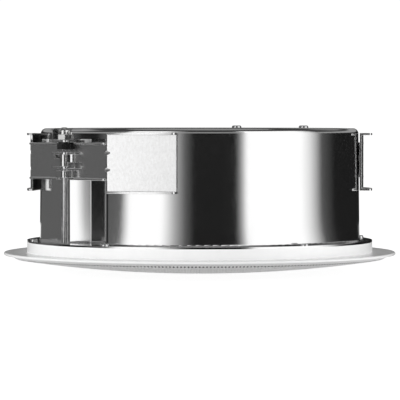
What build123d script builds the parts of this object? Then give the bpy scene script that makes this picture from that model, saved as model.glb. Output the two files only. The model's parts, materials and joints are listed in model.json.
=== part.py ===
"""In-ceiling speaker: baffle ring, domed grille, plated back can, two wing clamps and a cone driver.

Millimetres, +Z up into the ceiling. The origin is on the axis, in the plane where the flange meets
the ceiling.
"""
import math
import os

from build123d import *

# Flange and collar
FLANGE_W = 13.6
FLANGE_T = 1.6
RIM_W = 3.5
SEAT_DEPTH = 0.6
COLLAR_R = 101.4
COLLAR_TOP = 6.0
COLLAR_WALL = 2.5
BOARD_T = 3.5
RECESS_DRAFT = 0.3
FLANGE_R = COLLAR_R + FLANGE_W
SEAT_R = FLANGE_R - RIM_W
SEAT_Z = SEAT_DEPTH - FLANGE_T
BOARD_BOTTOM = COLLAR_TOP - BOARD_T
RECESS_R = COLLAR_R - COLLAR_WALL

# Grille
GRILLE_DROP = 11.0
GRILLE_T = 0.8
GRILLE_GAP = 0.66
GRILLE_EDGE = 0.287
SHOULDER_R = 3.9
SHOULDER_END = math.radians(70)
GRILLE_R = SEAT_R - GRILLE_GAP
GRILLE_LOW = SEAT_Z - GRILLE_DROP
POST_IN = 12.9
POST_R = RECESS_R - POST_IN
POST_WALL = 1.5
MAGNET_R = 4.0
MAGNET_T = 2.0
MAGNET_GAP = 0.02
SHOULDER_CR = GRILLE_R - SHOULDER_R * math.sin(SHOULDER_END)
SHOULDER_CZ = SEAT_Z - GRILLE_EDGE + SHOULDER_R * math.cos(SHOULDER_END)
SHOULDER_UP = SHOULDER_CZ - GRILLE_LOW
DOME_R = (SHOULDER_UP ** 2 + SHOULDER_CR ** 2 - SHOULDER_R ** 2) / (2 * (SHOULDER_UP - SHOULDER_R))

# Back can
FOOT_W = 7.4
CAN_DRAFT = 0.8
CAN_R_FOOT = COLLAR_R - FOOT_W
CAN_R_TOP = CAN_R_FOOT - CAN_DRAFT
CAN_TOP = 72.3
CAN_T = 0.8
FOOT_T = 1.0
CAN_TOP_FILLET = 3.2
CAN_FOOT_FILLET = 1.0
POCKET_BELOW_TOP = 6.3
POCKET_CLEAR = 6.0
NOTCH_DEPTH = 18.3
NOTCH_ROOT_T = 5.9
NOTCH_LIP_T = -9.3
NOTCH_BULGE = 0.32
NOTCH_ROOT_R = 3.0
NOTCH_LIP_R = 1.8
SEAM_DEPTH = 8.8
SEAM_T = -0.6
SEAM_R = 0.45
LOBE_T = 32.0
LOBE_R = 4.5
TOP_FLAT_CLEAR = 1.5
TOP_FLAT_LEFT, TOP_FLAT_RIGHT = 17.0, 5.0
WELL_L, WELL_W, WELL_D = 58.0, 28.0, 11.0
WELL_X = -24.0
WELL_INSET = 11.3
WELL_Y = math.sqrt((CAN_R_TOP - WELL_INSET) ** 2 - (WELL_L / 2 - WELL_X) ** 2) - WELL_W / 2
WELL_CORNER_R = 5.0

# Clamps: d is out from the axis, t is along the bracket
CLAMP_AZIMUTH = -54.0
SHEET = 1.2
WING_CLEAR = 0.2
MID_IN = 1.8
MID_BELOW_TOP = 29.3
MID_H = 21.0
WING_BEND = 41.7
WING_LENGTH = 39.4
BEND_R = 2.0
LIP_REACH = 12.0
LIP_CORNER_R = 1.5
WING_BELOW_TOP = 36.3
WING_H = 33.5
LIP_CLEAR = 0.1
FOLD_OUT = 1.6
FOLD_GAP = 9.0
GUSSET_R = 1.25
GUSSET_DEPTH = 0.75
GUSSET_RISE = 6.1
GUSSET_STEP = 9.3
SCREW_R = 2.0
SCREW_OUT = 2.0
RUNNING = 0.1
TAB_L = 6.8
TAB_HALF = 7.0
TAB_CORNER_R = 2.5
WINDOW_EDGE = 0.2
TAB_RISE = 6.4
EAR_GAP = 0.3
HOOK_T = 0.8
HOOK_H = 2.4
LOOP_RISE = 1.2
LOOP_H = 4.0
LOOP_HALF = 4.6
LOOP_OUT = 5.8
LOOP_T = 1.0
LOOP_CORNER_R = 2.0
SPACER_L = 6.8
SPACER_WALL = 0.55
NUT_SIZE = 7.0
NUT_T = 1.7
BUSH_HEX = 8.3
BUSH_NECK = 1.0
BUSH_NECK_R = 3.4
BUSH_SHIFT = 1.2
HEAD_R = 3.8
HEAD_T = 2.6
SLOT_L, SLOT_W, SLOT_D = 4.4, 1.0, 1.4
DOME_HEX = 7.3
DOME_HEX_T = 3.0
DOME_CROWN_R = 3.2
DOME_CROWN_H = 4.05
DOME_WALL = 2.1
NUT_GAP = 0.05

WING_PLANE = CAN_R_FOOT + WING_CLEAR + SHEET
BEND = math.radians(WING_BEND)
MID_D = CAN_R_FOOT - MID_IN
MID_HALF = (WING_PLANE - MID_D * math.cos(BEND)) / math.sin(BEND)
MID_LOW = CAN_TOP - MID_BELOW_TOP
WING_LOW = CAN_TOP - WING_BELOW_TOP
MID_HIGH = MID_LOW + MID_H
WING_HIGH = WING_LOW + WING_H
LIP_R = COLLAR_R - LIP_CLEAR
FLAT_D = MID_D - SHEET - POCKET_CLEAR
TOP_FLAT_D = MID_D - SHEET - TOP_FLAT_CLEAR
POCKET_TOP = CAN_TOP - POCKET_BELOW_TOP
SCREW_D = MID_D + SCREW_OUT
TAB_OUT = MID_D + TAB_L
LOWER_TAB_Z = MID_LOW + TAB_RISE
PLATE_TAB_Z = LOWER_TAB_Z + SHEET + SPACER_L
NUT_Z = PLATE_TAB_Z + SHEET
BUSH_Z = NUT_Z + NUT_T
EAR_Z = MID_HIGH + EAR_GAP
DOME_Z = EAR_Z + SHEET + NUT_GAP
DOME_TOP = DOME_Z + DOME_HEX_T + DOME_CROWN_H
SHANK_TOP = DOME_TOP - DOME_WALL

# Small screws
CAN_SCREW_HEAD_R = 2.3
CAN_SCREW_HEAD_T = 1.3
CAN_SCREW_R = 1.3
CAN_SCREW_L = 3.0
SCREW_HOLE_GAP = 0.15
DRIVER_SCREW_HEAD_R = 3.0
DRIVER_SCREW_HEAD_T = 1.9
DRIVER_SCREW_R = 1.5
DRIVER_SCREW_L = 2.7
TOP_SCREW_HEAD_R = 2.7
TOP_SCREW_HEAD_T = 1.4
TOP_SCREW_R = 1.5
TOP_SCREW_L = 4.5

# Driver
DRIVER_HOLE_R = 60.0
BASKET_FLANGE_W = 8.0
BASKET_GAP = 0.6
BASKET_T = 1.2
BASKET_STEP = 6.5
BASKET_STEP_IN = 1.4
WAIST_IN = 20.0
BASKET_WAIST_Z = 23.0
BASKET_MOUTH_R = 17.0
WINDOW_HALF = 11.5
WINDOW_EDGE_Z = 1.3
GASKET_T = 1.2
PLATE_Z = 31.2
PLATE_T = 5.0
MAG_T = 14.0
MAG_R = 36.0
MAG_BORE_R = 20.0
PLATE_INSET = 2.0
YOKE_T = 5.0
POLE_R = 12.5
POLE_VENT_R = 4.0
POLE_STAND = 0.5
GAP_R = 14.6
FORMER_R = 13.2
FORMER_T = 0.25
WIRE_T = 0.55
WIRE_Z, WIRE_L = 29.0, 10.0
CONE_EDGE = 10.0
CONE_LIP = 3.0
CONE_T = 0.6
NECK_Z = 20.0
CAP_R = 19.0
CAP_RISE = 6.0
ROLL_W = 6.5
SPIDER_Z = 22.4
SPIDER_T = 0.5
SPIDER_WAVE = 0.7
SPIDER_FOLDS = 8
TAG_STRIP_HALF = 8.0
TAG_STRIP_T = 2.8
TAG_X = 4.5
TAG_L, TAG_W, TAG_T = 4.0, 3.0, 0.6

CONE_R = DRIVER_HOLE_R - CONE_EDGE
BASKET_WAIST_R = DRIVER_HOLE_R - WAIST_IN
BASKET_SEAT_R = MAG_R - PLATE_INSET
BASKET_FLANGE_R = DRIVER_HOLE_R + BASKET_FLANGE_W
BASKET_WALL_R = DRIVER_HOLE_R - BASKET_GAP
BASKET_FRONT = BOARD_BOTTOM - BASKET_T
DRIVER_SCREW_RING = DRIVER_HOLE_R + BASKET_FLANGE_W / 2 - RUNNING * 2
SURROUND_R = CONE_R + ROLL_W
SPIDER_R = BASKET_WAIST_R - BASKET_T * 1.5

# Line transformer and terminal strip
TRAFO_X, TRAFO_Y = 40.0, -45.0
TRAFO_EARS = 19.0
CORE_HALF, CORE_DEPTH, CORE_H = 14.0, 13.0, 23.0
CORE_LIMB = 4.8
CORE_YOKE = 5.0
COIL_HALF, COIL_DEPTH = 9.2, 25.0
FRAME_T = 1.0
EAR_REACH = 4.0
STRIP_L, STRIP_W, STRIP_H = 40.0, 13.0, 8.5
STRIP_PITCH = 10.0
STRIP_WAYS = 4
STRIP_HOLE_R = 2.4
STRIP_SCREW_GAP = 0.1
WIRE_HOLE_R = 1.6

OUT = "parts"


def ring_profile(points):
    """Solid of revolution about Z from (r, z) points."""
    with BuildPart() as made:
        with BuildSketch(Plane.XZ):
            with BuildLine():
                Polyline(*points, close=True)
            make_face()
        revolve(axis=Axis.Z)
    return made.part


def tube(r_in, r_out, z0, z1):
    solid = Pos(0, 0, z0) * Cylinder(r_out, z1 - z0, align=(Align.CENTER, Align.CENTER, Align.MIN))
    if r_in > 0:
        solid -= Pos(0, 0, z0 - 1) * Cylinder(
            r_in, z1 - z0 + 2, align=(Align.CENTER, Align.CENTER, Align.MIN))
    return solid


def rod(x, y, radius, z0, z1):
    return Pos(x, y, z0) * Cylinder(radius, z1 - z0, align=(Align.CENTER, Align.CENTER, Align.MIN))


def block(x0, x1, y0, y1, z0, z1):
    return Pos((x0 + x1) / 2, (y0 + y1) / 2, (z0 + z1) / 2) * Box(x1 - x0, y1 - y0, z1 - z0)


def polar(radius, degrees):
    """Point at an azimuth counted from -Y toward +X."""
    a = math.radians(degrees)
    return radius * math.sin(a), -radius * math.cos(a)


def clamp_frame(shape):
    """Move a clamp piece built with d along +X and t along +Y to the left clamp's place."""
    return Rot(0, 0, CLAMP_AZIMUTH - 90) * shape


def other_side(shape):
    return Rot(0, 0, 180) * shape


def solid_of(*shapes):
    """One node made of several solids."""
    return Compound(children=[s for shape in shapes for s in shape.solids()])


SCREW_X, SCREW_Y = polar(SCREW_D, CLAMP_AZIMUTH)
CAN_SCREW_RING = COLLAR_R - CAN_SCREW_HEAD_R - LIP_CLEAR * 2
CAN_SCREW_AT = [polar(CAN_SCREW_RING, CLAMP_AZIMUTH + step) for step in (90, 158, 202, 270, 338, 22)]
DRIVER_SCREW_AT = [polar(DRIVER_SCREW_RING, step) for step in (45, 135, 225, 315)]
MAGNET_AT = [polar(POST_R, step) for step in (0, 90, 180, 270)]
TRAFO_SCREW_AT = [(TRAFO_X + side * TRAFO_EARS, TRAFO_Y) for side in (-1, 1)]


def grille_z(r):
    return GRILLE_LOW + r * r / (2 * DOME_R)


def grille_sheet():
    """Shallow dome with a rounded shoulder that stops on the flange seat."""
    start = math.asin(SHOULDER_CR / (DOME_R - SHOULDER_R))

    def shoulder(radius, angle):
        return SHOULDER_CR + radius * math.sin(angle), SHOULDER_CZ - radius * math.cos(angle)

    inner_r = SHOULDER_R - GRILLE_T
    dome_in = DOME_R - GRILLE_T
    centre_z = GRILLE_LOW + DOME_R
    mid = (start + SHOULDER_END) / 2
    out_end, in_end = shoulder(SHOULDER_R, SHOULDER_END), shoulder(inner_r, SHOULDER_END)
    with BuildPart() as made:
        with BuildSketch(Plane.XZ):
            with BuildLine():
                ThreePointArc((0, GRILLE_LOW),
                              (DOME_R * math.sin(start / 2), centre_z - DOME_R * math.cos(start / 2)),
                              shoulder(SHOULDER_R, start))
                ThreePointArc(shoulder(SHOULDER_R, start), shoulder(SHOULDER_R, mid), out_end)
                Line(out_end, (out_end[0], SEAT_Z))
                Line((out_end[0], SEAT_Z), (in_end[0], SEAT_Z))
                Line((in_end[0], SEAT_Z), in_end)
                ThreePointArc(in_end, shoulder(inner_r, mid), shoulder(inner_r, start))
                ThreePointArc(shoulder(inner_r, start),
                              (dome_in * math.sin(start / 2), centre_z - dome_in * math.cos(start / 2)),
                              (0, GRILLE_LOW + GRILLE_T))
                Line((0, GRILLE_LOW + GRILLE_T), (0, GRILLE_LOW))
            make_face()
        revolve(axis=Axis.Z)
    return made.part


def magnet_low():
    """Height at which a magnet's outer edge meets the inside of the dome."""
    return grille_z(POST_R + MAGNET_R) + GRILLE_T + MAGNET_GAP


def baffle_moulding():
    """Flange, collar and driver board in one moulding, with magnet posts in front."""
    edge = FLANGE_T / 2
    with BuildPart() as made:
        with BuildSketch(Plane.XZ):
            with BuildLine():
                Polyline((FLANGE_R - edge, 0), (COLLAR_R, 0), (COLLAR_R, COLLAR_TOP),
                         (DRIVER_HOLE_R, COLLAR_TOP), (DRIVER_HOLE_R, BOARD_BOTTOM),
                         (RECESS_R, BOARD_BOTTOM), (RECESS_R + RECESS_DRAFT, SEAT_Z), (SEAT_R, SEAT_Z),
                         (SEAT_R, -FLANGE_T), (FLANGE_R - edge, -FLANGE_T))
                ThreePointArc((FLANGE_R - edge, -FLANGE_T), (FLANGE_R, -edge), (FLANGE_R - edge, 0))
            make_face()
        revolve(axis=Axis.Z)
    body = made.part
    for x, y in MAGNET_AT:
        body += rod(x, y, MAGNET_R + POST_WALL, magnet_low() + MAGNET_T, BOARD_BOTTOM)
    for sign in (1, -1):
        body -= rod(sign * SCREW_X, sign * SCREW_Y, SCREW_R + RUNNING, BOARD_BOTTOM - 1, COLLAR_TOP + 1)
    for x, y in CAN_SCREW_AT:
        body -= rod(x, y, CAN_SCREW_R, COLLAR_TOP - CAN_SCREW_L, COLLAR_TOP + 1)
    for x, y in DRIVER_SCREW_AT:
        body -= rod(x, y, DRIVER_SCREW_R, BOARD_BOTTOM - 1, BOARD_BOTTOM + DRIVER_SCREW_L)
    return body


def pocket_prism(grow, z0, z1):
    """Space cut from the can beside one clamp: a flat, a bowed wall to the seam, then a deep notch."""
    root = (FLAT_D - NOTCH_DEPTH, NOTCH_ROOT_T)
    seam = (FLAT_D - SEAM_DEPTH, SEAM_T)
    lip = (FLAT_D, NOTCH_LIP_T)
    lobe = (math.sqrt(CAN_R_FOOT ** 2 - LOBE_T ** 2), LOBE_T)
    beyond = tuple(r + 1.5 * (o - r) for r, o in zip(root, lobe))
    wall = Vector(lip[0] - seam[0], lip[1] - seam[1])
    bow = Vector(-wall.Y, wall.X).normalized() * NOTCH_BULGE
    middle = ((seam[0] + lip[0]) / 2 + bow.X, (seam[1] + lip[1]) / 2 + bow.Y)
    outside = CAN_R_FOOT + beyond[0]
    with BuildPart() as made:
        with BuildSketch(Plane.XY.offset(z0)):
            with BuildLine():
                Polyline(lip, (FLAT_D, -CAN_R_FOOT), (outside, -CAN_R_FOOT), (outside, beyond[1]), beyond,
                         root, seam)
                ThreePointArc(seam, middle, lip)
            make_face()
            if grow:
                offset(amount=grow, kind=Kind.INTERSECTION)
        extrude(amount=z1 - z0)
    prism = made.part
    for corner, radius in ((root, NOTCH_ROOT_R + grow), (lip, NOTCH_LIP_R - grow)):
        upright = prism.edges().filter_by(Axis.Z)
        nearest = min(upright, key=lambda e: math.hypot(e.center().X - corner[0], e.center().Y - corner[1]))
        prism = fillet(nearest, radius)
    return clamp_frame(prism)


def can_body(inset):
    """Drafted can with both pockets and the terminal well, drawn in by the sheet thickness for the inside."""
    top = CAN_TOP - inset
    body = ring_profile([(0, COLLAR_TOP), (CAN_R_FOOT - inset, COLLAR_TOP), (CAN_R_TOP - inset, top),
                         (0, top)])
    rim = body.edges().filter_by(GeomType.CIRCLE).sort_by(Axis.Z)[-1]
    body = fillet(rim, CAN_TOP_FILLET - inset)
    cut = pocket_prism(inset, COLLAR_TOP - 1, POCKET_TOP + inset)
    flat = clamp_frame(block(TOP_FLAT_D - inset, CAN_R_FOOT * 2,
                             -TOP_FLAT_LEFT - inset, TOP_FLAT_RIGHT + inset,
                             POCKET_TOP - 1, CAN_TOP + 1))
    body = body - cut - other_side(cut) - flat - other_side(flat)
    half_l, half_w = WELL_L / 2 + inset, WELL_W / 2 + inset
    well = block(WELL_X - half_l, WELL_X + half_l, WELL_Y - half_w, WELL_Y + half_w,
                 CAN_TOP - WELL_D - inset, CAN_TOP + 1)
    return body - fillet(well.edges().filter_by(Axis.Z), WELL_CORNER_R + inset)


def lobe_edges(body):
    """Upright edges where the notch's near wall runs out through the can wall."""
    azimuth = CLAMP_AZIMUTH + math.degrees(math.asin(LOBE_T / CAN_R_FOOT))
    spots = [polar(CAN_R_FOOT, azimuth), polar(CAN_R_FOOT, azimuth + 180)]
    found = []
    for e in body.edges():
        c = e.center()
        upright = e.bounding_box().size.Z > (POCKET_TOP - COLLAR_TOP) / 2
        if upright and any(math.hypot(c.X - x, c.Y - y) < LOBE_R for x, y in spots):
            found.append(e)
    return found


def back_can():
    """Sheet shell: the outside form on its foot, less the inside form, less the screw holes."""
    outside = can_body(0.0)
    inside = can_body(CAN_T)
    outside = fillet(lobe_edges(outside), LOBE_R)
    inside = fillet(lobe_edges(inside), LOBE_R - CAN_T)
    level = COLLAR_TOP + FOOT_T
    shell = tube(0, COLLAR_R, COLLAR_TOP, level) + outside
    foot = [e for e in shell.edges() if abs(e.center().Z - level) < 0.01 and e.bounding_box().size.Z < 0.01
            and max(math.hypot(v.X, v.Y) for v in e.vertices()) < COLLAR_R - 1]
    shell = fillet(foot, CAN_FOOT_FILLET)
    seam = clamp_frame(rod(FLAT_D - SEAM_DEPTH, SEAM_T, SEAM_R, level, POCKET_TOP))
    shell = shell + seam + other_side(seam) - inside
    for sign in (1, -1):
        shell -= rod(sign * SCREW_X, sign * SCREW_Y, SCREW_R + RUNNING, COLLAR_TOP - 1, level + 5)
    for x, y in CAN_SCREW_AT:
        shell -= rod(x, y, CAN_SCREW_R + SCREW_HOLE_GAP, COLLAR_TOP - 1, level + 1)
    for x, y in TRAFO_SCREW_AT:
        shell -= rod(x, y, TOP_SCREW_R + RUNNING, CAN_TOP - CAN_T - 1, CAN_TOP + 1)
    return shell


def screw_group(places, head_r, head_t, shank_r, seat_z, shank_z, up):
    """Small screws with rounded heads on a seat, head up or down."""
    shapes = []
    for x, y in places:
        if up:
            head = rod(x, y, head_r, seat_z, seat_z + head_t)
            head = fillet(head.edges().group_by(Axis.Z)[-1], head_t * 0.55)
            shapes.append(head + rod(x, y, shank_r, shank_z, seat_z))
        else:
            head = rod(x, y, head_r, seat_z - head_t, seat_z)
            head = fillet(head.edges().group_by(Axis.Z)[0], head_t * 0.5)
            shapes.append(head + rod(x, y, shank_r, seat_z, shank_z))
    return solid_of(*shapes)


def wing_points(inset):
    """Plan points of one bracket face, from one wing end to the other."""
    half = MID_HALF - inset * math.tan(BEND / 2)
    tip_d = MID_D - WING_LENGTH * math.sin(BEND) - inset * math.cos(BEND)
    tip_t = MID_HALF + WING_LENGTH * math.cos(BEND) - inset * math.sin(BEND)
    return [(tip_d, -tip_t), (MID_D - inset, -half), (MID_D - inset, half), (tip_d, tip_t)]


def flat_prism(points, z0, z1):
    """Straight prism from plan points."""
    with BuildPart() as made:
        with BuildSketch(Plane.XY.offset(z0)):
            with BuildLine():
                Polyline(*points, close=True)
            make_face()
        extrude(amount=z1 - z0)
    return made.part


def sheet_band(z0, z1):
    """Bent strip that makes the middle plate and both wings."""
    band = flat_prism(wing_points(0) + wing_points(SHEET)[::-1], z0, z1)
    for inset, radius in ((0, BEND_R), (SHEET, BEND_R - SHEET)):
        d, t = wing_points(inset)[2]
        bends = [e for e in band.edges().filter_by(Axis.Z)
                 if abs(e.center().X - d) < 0.01 and abs(abs(e.center().Y) - t) < 0.01]
        band = fillet(bends, radius)
    return band


def lip_plate(z0, side):
    """Turned-out lip of one wing, trimmed to pass the ceiling cut-out."""
    length = side * WING_LENGTH
    strip = block(-SHEET, LIP_REACH, min(0, length), max(0, length), z0, z0 + SHEET)
    strip = Pos(MID_D, side * MID_HALF, 0) * Rot(0, 0, side * WING_BEND) * strip
    strip = strip & tube(0, LIP_R, z0, z0 + SHEET)
    far = max(strip.edges().filter_by(Axis.Z), key=lambda e: side * e.center().Y)
    return fillet(far, LIP_CORNER_R)


def gusset_dent(z, side):
    """Cutter for one dart pressed into a bend from outside."""
    dart = Pos(GUSSET_R - GUSSET_DEPTH, 0, 0) * Rot(90, 0, 0) * Cylinder(GUSSET_R, GUSSET_R * 8)
    return Pos(MID_D, side * MID_HALF, z) * Rot(0, 0, side * WING_BEND / 2) * dart


def screw_bore():
    return rod(SCREW_D, 0, SCREW_R + RUNNING, 0, CAN_TOP * 2)


def clamp_bracket():
    """Stamped wing bracket with three screw tabs and a loop that guards the screw."""
    back, front = MID_D - SHEET, MID_D + FOLD_OUT
    body = sheet_band(WING_LOW, WING_HIGH)
    for z0, z1 in ((WING_LOW, MID_LOW), (MID_HIGH, WING_HIGH)):
        body -= block(0, CAN_R_FOOT * 2, -MID_HALF, MID_HALF, z0, z1)
    for side in (-1, 1):
        body += lip_plate(WING_LOW, side) + lip_plate(WING_HIGH - SHEET, side)
        for step in (0, 1):
            body -= gusset_dent(MID_LOW + GUSSET_RISE + step * GUSSET_STEP, side)
    fold = MID_HALF - FOLD_OUT
    for z in (MID_LOW, MID_HIGH - SHEET):
        for t0, t1 in ((-fold, -FOLD_GAP), (FOLD_GAP, fold)):
            edge = block(back, front, t0, t1, z, z + SHEET)
            edge = fillet(edge.edges().filter_by(Axis.Y).group_by(Axis.X)[-1], SHEET * 0.45)
            body += edge
    window = TAB_HALF + WINDOW_EDGE
    body -= block(back - 1, MID_D + 1, -window, window, LOWER_TAB_Z + SHEET, PLATE_TAB_Z)
    for z in (LOWER_TAB_Z, PLATE_TAB_Z, EAR_Z):
        tab = block(back, TAB_OUT, -TAB_HALF, TAB_HALF, z, z + SHEET)
        body += fillet(tab.edges().filter_by(Axis.Z).group_by(Axis.X)[-1], TAB_CORNER_R)
    far = TAB_OUT - TAB_CORNER_R
    body += block(MID_D, far, -TAB_HALF, HOOK_T - TAB_HALF, PLATE_TAB_Z - HOOK_H, PLATE_TAB_Z)
    body += block(MID_D, far, TAB_HALF - HOOK_T, TAB_HALF, LOWER_TAB_Z + SHEET, LOWER_TAB_Z + SHEET + HOOK_H)
    body += block(back, MID_D, -TAB_HALF, TAB_HALF, MID_HIGH - SHEET, EAR_Z + SHEET)
    loop_z0, loop_z1 = MID_LOW + LOOP_RISE, MID_LOW + LOOP_RISE + LOOP_H
    loop = block(back, MID_D + LOOP_OUT, -LOOP_HALF, LOOP_HALF, loop_z0, loop_z1)
    body += fillet(loop.edges().filter_by(Axis.Z).group_by(Axis.X)[-1], LOOP_CORNER_R)
    inside = LOOP_HALF - LOOP_T
    body -= block(back - 1, MID_D + LOOP_OUT - LOOP_T, -inside, inside, loop_z0, loop_z1)
    return body - screw_bore()


def clamp_spacer():
    outer = SCREW_R + RUNNING + SPACER_WALL
    return rod(SCREW_D, 0, outer, LOWER_TAB_Z + SHEET, PLATE_TAB_Z) - screw_bore()


def clamp_nut():
    h = NUT_SIZE / 2
    return block(MID_D, SCREW_D + h, -h, h, NUT_Z, NUT_Z + NUT_T) - screw_bore()


def clamp_bush():
    """Six-sided block between nut and top tab, with a round neck and one side cut to bear on the plate."""
    with BuildPart() as made:
        with BuildSketch(Plane.XY.offset(BUSH_Z)):
            RegularPolygon(BUSH_HEX / 2, 6, major_radius=False, rotation=30)
        extrude(amount=EAR_Z - BUSH_NECK - BUSH_Z)
    bush = Pos(SCREW_D, BUSH_SHIFT, 0) * made.part + rod(SCREW_D, 0, BUSH_NECK_R, BUSH_Z, EAR_Z)
    return bush - block(0, MID_D, -BUSH_HEX, BUSH_HEX, BUSH_Z - 1, EAR_Z + 1) - screw_bore()


def clamp_screw():
    """Long screw: pan head under the board, shank up into the acorn nut."""
    low = BOARD_BOTTOM - HEAD_T
    head = rod(SCREW_D, 0, HEAD_R, low, BOARD_BOTTOM)
    head = fillet(head.edges().group_by(Axis.Z)[0], HEAD_T * 0.54)
    body = head + rod(SCREW_D, 0, SCREW_R, BOARD_BOTTOM, SHANK_TOP)
    for along, across in ((SLOT_L / 2, SLOT_W / 2), (SLOT_W / 2, SLOT_L / 2)):
        body -= block(SCREW_D - along, SCREW_D + along, -across, across, low - 1, low + SLOT_D)
    return body


def dome_nut():
    with BuildPart() as made:
        with BuildSketch(Plane.XY.offset(DOME_Z)):
            RegularPolygon(DOME_HEX / 2, 6, major_radius=False)
        extrude(amount=DOME_HEX_T)
    nut = Pos(SCREW_D, 0, 0) * made.part
    crown = rod(SCREW_D, 0, DOME_CROWN_R, DOME_Z + DOME_HEX_T, DOME_TOP)
    crown = fillet(crown.edges().group_by(Axis.Z)[-1], DOME_CROWN_R * 0.81)
    return nut + crown - rod(SCREW_D, 0, SCREW_R, DOME_Z - 1, SHANK_TOP)


def basket_side():
    """Outside of the frame, from the board to the motor, as (r, z) points."""
    return [(BASKET_WALL_R, BOARD_BOTTOM), (BASKET_WALL_R - BASKET_STEP_IN, BOARD_BOTTOM + BASKET_STEP),
            (BASKET_WAIST_R, BASKET_WAIST_Z), (BASKET_SEAT_R, PLATE_Z)]


def driver_basket():
    """Pressed frame: flange, six legs and a back seat for the motor."""
    side = basket_side()
    inner = [(r - BASKET_T * 1.17, z - BASKET_T / 2) for r, z in side[1:3]]
    cup = ring_profile([(SURROUND_R, BASKET_FRONT), (BASKET_FLANGE_R, BASKET_FRONT),
                        (BASKET_FLANGE_R, BOARD_BOTTOM)]
                       + side + [(BASKET_MOUTH_R, PLATE_Z), (BASKET_MOUTH_R, PLATE_Z - BASKET_T),
                                 (BASKET_SEAT_R - BASKET_T, PLATE_Z - BASKET_T)]
                       + inner[::-1] + [(SURROUND_R, BOARD_BOTTOM)])
    low, high = BOARD_BOTTOM + BASKET_STEP + WINDOW_EDGE_Z, BASKET_WAIST_Z - WINDOW_EDGE_Z
    for k in range(6):
        window = block(BASKET_SEAT_R + PLATE_INSET, BASKET_FLANGE_R, -WINDOW_HALF, WINDOW_HALF, low, high)
        window = fillet(window.edges().filter_by(Axis.X), (high - low) / 4)
        cup -= Rot(0, 0, 60 * k + 30) * window
    for x, y in DRIVER_SCREW_AT:
        cup -= rod(x, y, DRIVER_SCREW_R + RUNNING, BASKET_FRONT - 1, BOARD_BOTTOM + 1)
    return cup


def driver_gasket():
    low = BASKET_FRONT - GASKET_T
    body = tube(SURROUND_R + RUNNING, BASKET_FLANGE_R, low, BASKET_FRONT)
    for x, y in DRIVER_SCREW_AT:
        body -= rod(x, y, DRIVER_SCREW_HEAD_R + RUNNING, low - 1, BASKET_FRONT + 1)
    return body


def driver_terminals():
    """Solder-tag strip on one leg of the frame."""
    high = BOARD_BOTTOM + BASKET_STEP
    low = high - TAG_STRIP_T
    near = BASKET_WALL_R - BASKET_STEP_IN * 2
    strip = block(-TAG_STRIP_HALF, TAG_STRIP_HALF, near, BASKET_WALL_R + BASKET_T, low, high)
    strip -= ring_profile([(0, BOARD_BOTTOM)] + basket_side() + [(0, PLATE_Z)])
    middle = (low + high) / 2
    tag = BASKET_WALL_R + BASKET_T / 2
    for x in (-TAG_X, TAG_X):
        strip += block(x - TAG_W / 2, x + TAG_W / 2, tag, tag + TAG_L,
                       middle - TAG_T / 2, middle + TAG_T / 2)
    return strip


def surround():
    """Half roll between the cone's edge and the frame, bulging to the front."""
    z, r0, r1, t = BASKET_FRONT, CONE_R, SURROUND_R, CONE_T
    mid, half = (r0 + r1) / 2, (r1 - r0) / 2
    with BuildPart() as made:
        with BuildSketch(Plane.XZ):
            with BuildLine():
                ThreePointArc((r0, z), (mid, z - half), (r1, z))
                Line((r1, z), (r1, z + t))
                Line((r1, z + t), (r1 - t, z + t))
                ThreePointArc((r1 - t, z + t), (mid, z - half + t), (r0 + t, z + t))
                Line((r0 + t, z + t), (r0, z + t))
                Line((r0, z + t), (r0, z))
            make_face()
        revolve(axis=Axis.Z)
    return made.part


def cone():
    z, neck = BASKET_FRONT, FORMER_R + FORMER_T
    return ring_profile([(neck, NECK_Z), (CONE_R - CONE_LIP, z), (CONE_R, z), (CONE_R, z + CONE_T),
                         (CONE_R - CONE_LIP + CONE_T / 3, z + CONE_T), (neck, NECK_Z + CONE_T * 1.33)])


def dust_cap():
    """Shallow cap over the voice coil."""
    neck = FORMER_R + FORMER_T
    slope = (NECK_Z - BASKET_FRONT) / (CONE_R - CONE_LIP - neck)
    seat = NECK_Z - slope * (CAP_R - neck)
    ball = (CAP_R ** 2 + CAP_RISE ** 2) / (2 * CAP_RISE)
    cap = Pos(0, 0, seat - CAP_RISE + ball) * (Sphere(ball) - Sphere(ball - CONE_T))
    return cap & tube(0, CAP_R + 1, seat - CAP_RISE - 1, seat)


def spider():
    """Corrugated centring disc between the coil former and the frame."""
    low, top = [], []
    r0, r1 = FORMER_R + FORMER_T, SPIDER_R
    for k in range(SPIDER_FOLDS + 1):
        r = r0 + (r1 - r0) * k / SPIDER_FOLDS
        lift = 0.0 if k in (0, SPIDER_FOLDS) else (SPIDER_WAVE if k % 2 else -SPIDER_WAVE)
        low.append((r, SPIDER_Z + lift))
        top.append((r, SPIDER_Z + lift + SPIDER_T))
    return ring_profile(low + top[::-1])


def voice_coil():
    neck = FORMER_R + FORMER_T
    former = tube(FORMER_R, neck, NECK_Z - CONE_T, WIRE_Z + WIRE_L + WIRE_T)
    return former + tube(neck, neck + WIRE_T, WIRE_Z, WIRE_Z + WIRE_L)


def top_plate():
    return tube(GAP_R, MAG_R - PLATE_INSET, PLATE_Z, PLATE_Z + PLATE_T)


def magnet():
    z = PLATE_Z + PLATE_T
    ring = tube(MAG_BORE_R, MAG_R, z, z + MAG_T)
    rims = ring.edges().filter_by(GeomType.CIRCLE).filter_by(lambda e: e.radius > (MAG_BORE_R + MAG_R) / 2)
    return chamfer(rims, PLATE_INSET / 2)


def pole_yoke():
    z = PLATE_Z + PLATE_T + MAG_T
    plate = tube(0, MAG_R - PLATE_INSET, z, z + YOKE_T)
    plate = chamfer(plate.edges().group_by(Axis.Z)[-1], PLATE_INSET * 0.6)
    return plate + tube(0, POLE_R, PLATE_Z - POLE_STAND, z) - rod(0, 0, POLE_VENT_R, 0, CAN_TOP * 2)


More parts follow.
